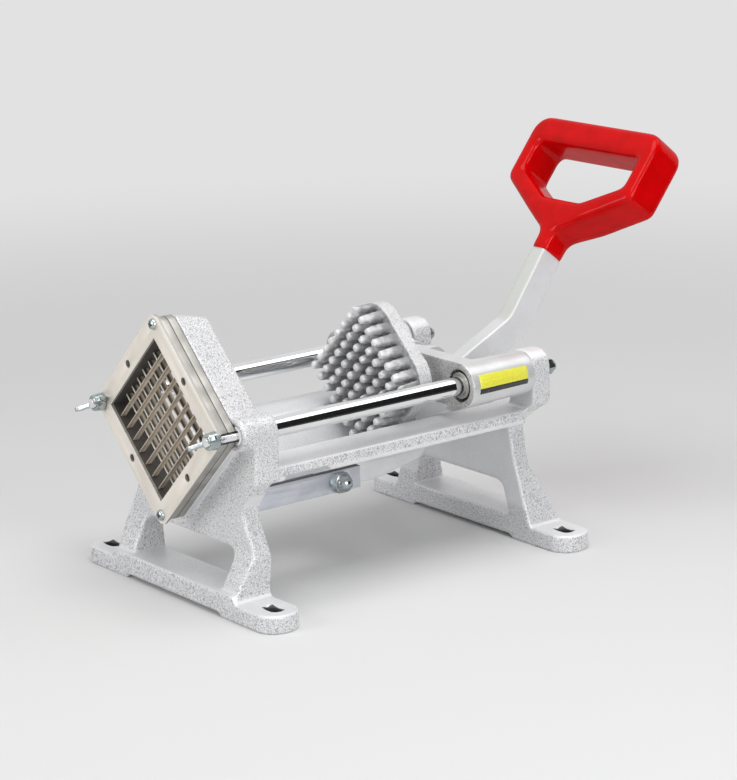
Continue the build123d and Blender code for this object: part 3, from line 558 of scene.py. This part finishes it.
def chrome_paint(points):
    lines = points.stretched(1, 0.02, 1).noise(0.0008, roughness=0.6)
    film = points.noise(0.02, detail=3.0, roughness=0.6).rise(0.4, 0.8)
    return {
        "Base Color": film.between(*chrome_shades),
        "Metallic": 1.0,
        "Roughness": 0.05 + 0.06 * lines + 0.04 * film,
        "Normal": points.bump(lines * 0.000012),
    }


chrome = finish("hard_chrome", chrome_paint)
rod_rings = thread(rod_start - stud_start, stud_radius) + [
    (rod_radius - rod_chamfer, rod_start - stud_start),
    (rod_radius, rod_start + rod_chamfer - stud_start),
    (rod_radius, rod_end - stud_start),
    (stud_radius, rod_end - stud_start),
    (stud_radius, stud_end - stud_start),
]
for side, hand in ((-1, "left"), (1, "right")):
    rod = stacked(rod_rings, (0, 1, 0), (side * rod_offset, stud_start, axis_z), rod_sides)
    rod_mesh = shaded(rod, f"guide_rod_{hand}_bar")
    place(f"guide_rod_{hand}_bar", rod_mesh, "frame", "rod_chrome", chrome, f"guide_rod_{hand}")


# Wing nuts, washers and acorn nuts on the rod ends, all zinc plated. The wing nuts
# are die cast, so their edges are round, and the acorn nuts are turned from hexagon bar.

washer_top = 0.126
rod_nut_flats = 0.010
rod_nut_height = 0.0075
acorn_shoulder = 0.0005
dome_rings = 13
dome_step_degrees = 7.4
corner_share = 0.475
corner_slope = tan(radians(30))

for hand in ("left", "right"):
    nut = f"wing_nut_{hand}"
    leaf = f"{nut}_leaf"
    mesh = cast(joined(nut), leaf, grain=0.0003, easing=5, kept=0.5, lump_height=0.00002)
    plated(leaf, mesh, nut, nut)

washer_mesh = eased("rod_washers", "rod_washers_plated", radius=0.0003)
plated("rod_washers_plated", washer_mesh, "frame", "rod_washers")


def hexagon(flats, height):
    """Rings of a hexagon whose corners are turned off at 30 degrees at both ends."""
    round_reach = corner_share * flats

    def reach(angle):
        return flats / 2 / cos(angle % (pi / 3) - pi / 6)

    def low_edge(angle):
        return (reach(angle) - round_reach) * corner_slope

    def high_edge(angle):
        return height - (reach(angle) - round_reach) * corner_slope

    return [(round_reach, 0), (reach, low_edge), (reach, high_edge), (round_reach, height)]


def acorn(flats, height):
    """Rings of an acorn nut: a hexagon, a narrow shoulder and a round dome."""
    dome_radius = flats / 2 - acorn_shoulder
    rings = hexagon(flats, height)
    for step in range(dome_rings):
        turn = radians(dome_step_degrees * step)
        rings.append((dome_radius * cos(turn), height + dome_radius * sin(turn)))
    return rings


def turned(node, body, shapes):
    """Adds a node's nuts or bolts, turned from the bar and zinc plated."""
    name = f"{node}_plated"
    plated(name, merged(shapes, name), body, node)


acorns = []
for side in (-1, 1):
    seat = (side * rod_offset, washer_top, axis_z)
    acorns.append(stacked(acorn(rod_nut_flats, rod_nut_height), (0, 1, 0), seat))
turned("rod_acorn_nuts", "frame", acorns)


# Carriage: an aluminium casting with a smooth bright coat on its round bosses and a
# dull, finely speckled one on its flat front. The recesses round the rods are painted
# dark, as painted shade.

recess_radius = 0.011

bright_shades = ((0.62, 0.625, 0.63), (0.68, 0.685, 0.69))
dull_shades = ((0.42, 0.42, 0.41), (0.54, 0.54, 0.53))
front_speck = (0.20, 0.20, 0.20)
recess_shade_tones = ((0.03, 0.03, 0.03), (0.36, 0.36, 0.35))


def carriage_paint(points):
    front = points.faces(1).rise(-0.4, -0.7)
    from_rod = ((abs(points.axis(0)) - rod_offset) ** 2 + (points.axis(2) - axis_z) ** 2) ** 0.5
    # The recesses round the rods are painted dark, as painted shade, with a mottle.
    inside = from_rod.below(recess_radius - 0.0002, fade=0.0004)
    specks = points.noise(0.0009, roughness=0.65).rise(0.50, 0.62)
    recess_mottle = points.noise(0.0011, roughness=0.6).rise(0.58, 0.62)
    clouds = points.noise(0.012, detail=3.0).rise(0.3, 0.7)
    faced = front.between(clouds.between(*bright_shades), clouds.between(*dull_shades))
    speckled = (specks * (0.03 + 0.8 * front)).between(faced, front_speck)
    height = points.noise(0.0012) * 0.00016 * (0.08 + 0.92 * front)
    return {
        "Base Color": inside.between(speckled, recess_mottle.between(*recess_shade_tones)),
        "Metallic": 0.35,
        "Roughness": 0.32 + 0.2 * front,
        "Normal": points.bump(height),
        "Coat Weight": 0.4 - 0.3 * front,
        "Coat Roughness": 0.12,
    }


bright_coat = finish("bright_coat", carriage_paint)
carriage_mesh = cast(joined("carriage_casting"), "carriage_body", grain=0.0008, easing=5)
place("carriage_body", carriage_mesh, "carriage", "bright_casting", bright_coat, "carriage_casting")


# Rod bushings: plain sleeves of sintered bearing metal, pressed into both ends of each
# boss. The pores between the sintered grains show as fine dark spots.

bushing_shades = ((0.34, 0.33, 0.31), (0.58, 0.57, 0.54))


def bushing_paint(points):
    pores = points.noise(0.0004, roughness=0.7)
    return {
        "Base Color": pores.rise(0.4, 0.7).between(*bushing_shades),
        "Metallic": 1.0,
        "Roughness": 0.3 + 0.2 * pores,
        "Normal": points.bump(pores * 0.00003),
    }


sintered = finish("bearing_metal", bushing_paint)
bushing_mesh = eased("rod_bushings", "rod_bushing_sleeves", radius=0.0003)
place("rod_bushing_sleeves", bushing_mesh, "carriage", "bushing_metal", sintered, "rod_bushings")


# Label: a plain printed film round the right boss, a yellow field over a black band.
# It is glued on, and its print is rubbed off in a few small spots.

band_top = 0.1189

print_yellow = (0.74, 0.71, 0.06)
print_black = (0.02, 0.02, 0.024)
rubbed_grey = (0.7, 0.7, 0.66)


def label_paint(points):
    band = points.axis(2).below(band_top - 0.0001, fade=0.0002)
    fibre = points.noise(0.002)
    wear = points.noise(0.0012, detail=3.0, roughness=0.6).rise(0.66, 0.72)
    return {
        "Base Color": (wear * 0.25).between(band.between(print_yellow, print_black), rubbed_grey),
        "Roughness": 0.22 + 0.12 * fibre,
        "Normal": points.bump(fibre * 0.00004),
        "Coat Weight": 0.15,
        "Coat Roughness": 0.1,
    }


label_film = finish("label_film", label_paint)
label_mesh = eased("carriage_label", "carriage_label_film", radius=0.00004, steps=1)
place("carriage_label_film", label_mesh, "carriage", "label_film", label_film, "carriage_label")


# Pusher: a cast block with 64 lumpy pegs, coated like the body and screwed to the
# carriage. The pegs are bare satin grey, with a painted highlight at their tips and a
# dark root, partly grime and partly painted shade.

peg_root_y = 0.0340
peg_tip_y = 0.0163

peg_shades = ((0.42, 0.42, 0.43), (0.68, 0.68, 0.69))
tip_highlight = (0.86, 0.86, 0.87)
root_shadow = (0.18, 0.18, 0.185)
block_silver = (0.70, 0.705, 0.715)
block_speck = (0.36, 0.36, 0.37)


def pusher_paint(points):
    along = points.axis(1)
    pegs = along.below(peg_root_y - 0.0002, fade=0.001)
    # The peg tips get a painted highlight, and their roots are darkened, partly grime and partly
    # painted shade.
    tips = along.below(peg_tip_y + 0.0010, fade=0.0045)
    root_grime_and_shade = along.rise(peg_tip_y + 0.0060, peg_root_y - 0.0015) * pegs
    grain = points.noise(0.0014, detail=3.0, roughness=0.6)
    clouds = points.noise(0.005).rise(0.35, 0.65)
    tip_lit = (tips * 0.7).between(clouds.between(*peg_shades), tip_highlight)
    pegs_lit_and_shaded = (root_grime_and_shade * 0.7).between(tip_lit, root_shadow)
    specks = points.noise(0.0010, roughness=0.65).rise(0.52, 0.64)
    coated = (specks * 0.7).between(block_silver, block_speck)
    return {
        "Base Color": pegs.between(coated, pegs_lit_and_shaded),
        "Metallic": 0.3 - 0.1 * pegs,
        "Roughness": 0.44 - 0.1 * tips + 0.12 * grain,
        "Normal": points.bump(grain * 0.0009),
    }


satin = finish("satin_casting", pusher_paint)
pusher_mesh = cast(
    joined("pusher_block"),
    "pusher_block_pegs",
    grain=0.0006,
    easing=4,
    lump_size=0.0022,
    lump_height=0.0009,
    swell=0.0003,
)
place("pusher_block_pegs", pusher_mesh, "carriage", "pusher_casting", satin, "pusher_block")
screw_mesh = eased("pusher_screws", "pusher_screw_heads", radius=0.0004)
plated("pusher_screw_heads", screw_mesh, "carriage", "pusher_screws")


# Lever pivot: a zinc plated hexagon bolt through the two lugs of the carriage, with
# its head on the left and a nut on the right. The bolt's tip stands out of the nut.

pivot = (0.0735, 0.1210)
pivot_flats = 0.016
pivot_radius = 0.005
pivot_nut_height = 0.008
pivot_head_height = 0.0064
pivot_spare = 0.002
pivot_chamfer = 0.0008
lug_outer_x = 0.0145


def hex_bolt(flats, head_height, radius, length, head_seat):
    """A bolt whose head faces left and whose shank runs to the right from the head's seat."""
    shank = stacked([(radius, 0), (radius, length)], (1, 0, 0), head_seat)
    head = stacked(hexagon(flats, head_height), (-1, 0, 0), head_seat)
    return [shank, head]


# The end of the bolt, which stands out of the nut, is drawn with the nut.
nut_rings = hexagon(pivot_flats, pivot_nut_height) + [
    (pivot_radius, pivot_nut_height),
    (pivot_radius, pivot_nut_height + pivot_spare - pivot_chamfer),
    (pivot_radius - pivot_chamfer, pivot_nut_height + pivot_spare),
]
turned("lever_pivot_nut", "carriage", [stacked(nut_rings, (1, 0, 0), (lug_outer_x, *pivot))])
head_seat = (-lug_outer_x, *pivot)
pivot_bolt = hex_bolt(pivot_flats, pivot_head_height, pivot_radius, 2 * lug_outer_x, head_seat)
turned("lever_pivot_bolt", "carriage", pivot_bolt)


# Lever: one aluminium casting that turns on the pivot bolt, under a smooth silver
# coat. Its narrow front face is painted a little greyer than its broad sides, as
# painted shade.

lever_shades = ((0.74, 0.745, 0.76), (0.80, 0.805, 0.82))
narrow_face_shade = (0.62, 0.63, 0.60)
lever_speck = (0.40, 0.40, 0.41)


def lever_paint(points):
    fine = points.noise(0.0009, roughness=0.6)
    clouds = points.noise(0.02, detail=3.0).rise(0.3, 0.7)
    specks = points.noise(0.0013, roughness=0.6).rise(0.60, 0.72)
    # The narrow front face is painted greyer, as painted shade.
    narrow = points.faces(1).rise(-0.3, -0.6)
    faced = narrow.between(clouds.between(*lever_shades), narrow_face_shade)
    return {
        "Base Color": (specks * 0.25).between(faced, lever_speck),
        "Metallic": 0.3,
        "Roughness": 0.48 + 0.1 * fine,
        "Normal": points.bump(fine * 0.00006 + points.noise(0.01, detail=1.0) * 0.0002),
    }


lever_coat = finish("smooth_silver_coat", lever_paint)
lever_mesh = cast(joined("lever_casting"), "lever_arm", grain=0.0010, easing=6)
place("lever_arm", lever_mesh, "lever", "lever_casting", lever_coat, "lever_casting")


# Hand grip: red vinyl dipped over the lever's loop, glossy, a little uneven where it
# ran and round at its edges. It starts square to the lever's arm.

grip_start = Vector((0, 0.1885, 0.1786))
grip_angle = radians(51.5)

vinyl_shades = ((0.50, 0.0, 0.0), (0.58, 0.0, 0.001))


def vinyl_paint(points):
    runs = points.noise(0.014)
    fine = points.noise(0.0008)
    return {
        "Base Color": runs.rise(0.3, 0.7).between(*vinyl_shades),
        "Roughness": 0.4 + 0.08 * fine,
        "Normal": points.bump(runs * 0.0006),
        "Coat Weight": 0.28,
        "Coat Roughness": 0.03,
        "Specular IOR Level": 0.02,
    }


# The grip and the lever are cast as one shape, and what lies below the grip is cut off.
vinyl = finish("red_vinyl", vinyl_paint)
dipped_shape = joined("hand_grip", "lever_casting")
dipped_mesh = cast(dipped_shape, "dipped_lever", grain=0.0009, easing=50, lump_height=0.0001)
grip_shape = bmesh.new()
grip_shape.from_mesh(dipped_mesh)
cut = bmesh.ops.bisect_plane(
    grip_shape,
    geom=grip_shape.verts[:] + grip_shape.edges[:] + grip_shape.faces[:],
    plane_co=grip_start,
    plane_no=(0, cos(grip_angle), sin(grip_angle)),
    clear_inner=True,
)
rim = [part for part in cut["geom_cut"] if isinstance(part, bmesh.types.BMEdge)]
bmesh.ops.holes_fill(grip_shape, edges=rim)
grip_mesh = shaded(grip_shape, "hand_grip_vinyl", sharpest=60)
place("hand_grip_vinyl", grip_mesh, "lever", "red_vinyl", vinyl, "hand_grip")


# Links: two drawn steel bars between the lever's foot and the lug under the ring, with
# zinc plated washers, bolts and nuts. Their top and bottom faces are painted near
# black, as painted shadow.

link_pivot = (-0.0091, 0.0550)
link_anchor = (-0.0935, 0.0550)
link_outer_x = 0.0125
link_bolt_radius = 0.004
link_flats = 0.013
link_nut_height = 0.0065
link_head_height = 0.0053
half_bolt_length = 0.0062

drawn_shades = ((0.62, 0.64, 0.70), (0.70, 0.72, 0.77))
gap_shadow_black = (0.015, 0.015, 0.017)


def drawn_paint(points):
    lines = points.stretched(1, 0.03, 1).noise(0.0005, detail=3.0, roughness=0.6)
    cloud = points.noise(0.012, detail=3.0).rise(0.3, 0.7)
    # The top and bottom faces are painted near black, as painted shadow.
    edge = abs(points.faces(2)).rise(0.5, 0.8)
    return {
        "Base Color": edge.between(cloud.between(*drawn_shades), gap_shadow_black),
        "Metallic": 0.7 - 0.6 * edge,
        "Roughness": 0.36 + 0.18 * lines,
        "Normal": points.bump(lines * 0.00003),
    }


drawn_steel = finish("drawn_steel", drawn_paint)
for hand in ("left", "right"):
    link_bar = f"link_bar_{hand}"
    mesh = eased(link_bar, f"{link_bar}_flat", radius=0.0004)
    place(f"{link_bar}_flat", mesh, "links", "link_steel", drawn_steel, link_bar)
washer_mesh = eased("link_washers", "link_washers_plated", radius=0.0002)
plated("link_washers_plated", washer_mesh, "links", "link_washers")


def link_bolt(axis, length):
    """A bolt on an axis of the links, with its head on the left and a shank of a length."""
    head_seat = (-link_outer_x, *axis)
    return hex_bolt(link_flats, link_head_height, link_bolt_radius, length, head_seat)


rear_nut = stacked(acorn(link_flats, link_nut_height), (1, 0, 0), (link_outer_x, *link_pivot))
turned("link_rear_nut", "links", [rear_nut])
turned("link_rear_bolt", "links", link_bolt(link_pivot, 2 * link_outer_x))

# The front bolt is in two halves, which end just short of the lug between them.
nut_seat = (link_outer_x, *link_anchor)
front_nut = stacked(hexagon(link_flats, link_nut_height), (1, 0, 0), nut_seat)
turned("link_front_nut", "links", [front_nut])
half_bolt = [(link_bolt_radius, 0), (link_bolt_radius, half_bolt_length)]
right_half = stacked(half_bolt, (-1, 0, 0), nut_seat)
turned("link_front_bolt", "links", [*link_bolt(link_anchor, half_bolt_length), right_half])


# Studio: a pale floor that fades into an even backdrop, under soft lamps overhead, at
# the right, in front and behind. Two black felt cards at the right, one upright and one
# flat, show only in reflections, as the dark line along the polished rods.

floor_half = 12.0
fade_start = 0.35
fade_end = 1.5
card_x = 1.6
card_near_y = 0.15
card_far_y = 3.2
card_top = 2.4
flat_card_x = 0.34
flat_card_z = 0.001
middle = Vector((0, 0, 0.12))

black = (0.0, 0.0, 0.0)
floor_shades = ((0.70, 0.70, 0.70), (0.72, 0.72, 0.72))
backdrop_white = (0.76, 0.76, 0.76)
felt_shades = ((0.004, 0.004, 0.004), (0.008, 0.008, 0.008))
soft_sky = (0.4, 0.4, 0.4)
seen_sky = (0.80, 0.80, 0.80)


def seen(wire):
    """A mask: 1 where the camera, a reflection or a clear piece looks, 0 for soft light."""
    camera_ray = wire.node("LightPath", {}, {}, output="Is Camera Ray")
    glossy_ray = wire.node("LightPath", {}, {}, output="Is Glossy Ray")
    clear_ray = wire.node("LightPath", {}, {}, output="Is Transmission Ray")
    return (camera_ray + glossy_ray + clear_ray).rise(0.0, 1.0)


def floor_paint(points):
    """Lit by the lamps near the object, and fading to an even pale backdrop farther out."""
    haze = points.noise(0.8)
    distance = (points.axis(0) ** 2 + points.axis(1) ** 2) ** 0.5
    faded = distance.rise(fade_start, fade_end) * seen(points)
    return {
        "Base Color": faded.between(haze.between(*floor_shades), black),
        "Roughness": 0.9,
        "Specular IOR Level": 0.0,
        "Emission Color": faded.between(black, backdrop_white),
        "Emission Strength": 1.0,
    }


def felt_paint(points):
    return {"Base Color": points.noise(0.01).between(*felt_shades), "Roughness": 1.0}


def studio_sheet(name, corners, material):
    """A flat sheet that belongs to the studio."""
    shape = bmesh.new()
    shape.faces.new([shape.verts.new(corner) for corner in corners])
    sheet = bpy.data.objects.new(name, shaded(shape, name))
    sheet.data.materials.append(material)
    bpy.context.scene.collection.objects.link(sheet)
    return sheet


corner_signs = ((-1, -1), (1, -1), (1, 1), (-1, 1))
floor_corners = [(x * floor_half, y * floor_half, 0) for x, y in corner_signs]
studio_sheet("floor", floor_corners, finish("pale_floor", floor_paint))

felt = finish("black_felt", felt_paint)
upright_card = [
    (card_x, card_near_y, 0),
    (card_x, card_far_y, 0),
    (card_x, card_far_y, card_top),
    (card_x, card_near_y, card_top),
]
flat_card = [
    (flat_card_x, card_near_y, flat_card_z),
    (card_x, card_near_y, flat_card_z),
    (card_x, card_far_y, flat_card_z),
    (flat_card_x, card_far_y, flat_card_z),
]
for name, corners in (("dark_card", upright_card), ("dark_floor_card", flat_card)):
    card = studio_sheet(name, corners, felt)
    card.visible_camera = False
    card.visible_diffuse = False
    card.visible_shadow = False

# The sky is paler where it is seen than where it lights the object.
world = bpy.data.worlds.new("studio")
bpy.context.scene.world = world
world.use_nodes = True
world_tree = world.node_tree
background = world_tree.nodes["Background"]
sky = seen(Wire(background.outputs[0])).between(soft_sky, seen_sky)
world_tree.links.new(sky.socket, background.inputs["Color"])
background.inputs["Strength"].default_value = 1.0


def soft_light(name, hung_at, width, height, power):
    """A rectangular area light aimed at the middle of the object."""
    lamp = bpy.data.lights.new(name, "AREA")
    lamp.shape = "RECTANGLE"
    lamp.size = width
    lamp.size_y = height
    lamp.energy = power
    holder = bpy.data.objects.new(name, lamp)
    bpy.context.scene.collection.objects.link(holder)
    holder.location = hung_at
    holder.rotation_euler = (middle - Vector(hung_at)).to_track_quat("-Z", "Y").to_euler()


soft_light("overhead", (0.3, -0.1, 1.5), width=1.0, height=1.2, power=12.5)
soft_light("right_side", (1.5, -0.1, 0.55), width=0.6, height=0.8, power=8.5)
soft_light("front", (-0.2, -1.6, 0.6), width=0.8, height=0.8, power=8.5)
soft_light("behind", (0.4, 1.2, 1.65), width=1.2, height=0.6, power=3)


# Camera: at the eye height of someone who stands at the bench and looks down a little
# on the machine's front and its right side, through a long lens.

camera_data = bpy.data.cameras.new("camera")
camera_data.lens = 130.57
camera_data.sensor_width = 36.0
camera_data.clip_start = 0.05
camera = bpy.data.objects.new("camera", camera_data)
bpy.context.scene.collection.objects.link(camera)
camera_place = Vector((1.45444, -1.10134, 0.58715))
azimuth = radians(52.17)
elevation = radians(14.56)
roll = radians(-1.38)
back = Vector((sin(azimuth) * cos(elevation), -cos(azimuth) * cos(elevation), sin(elevation)))
level_right = (-back).cross(Vector((0, 0, 1))).normalized()
level_up = level_right.cross(-back)
right = level_right * cos(roll) + level_up * sin(roll)
up = level_up * cos(roll) - level_right * sin(roll)
camera_turn = Matrix((right, up, back)).transposed().to_4x4()
camera.matrix_world = Matrix.Translation(camera_place) @ camera_turn
bpy.context.scene.camera = camera
bpy.context.scene.view_settings.view_transform = "Standard"
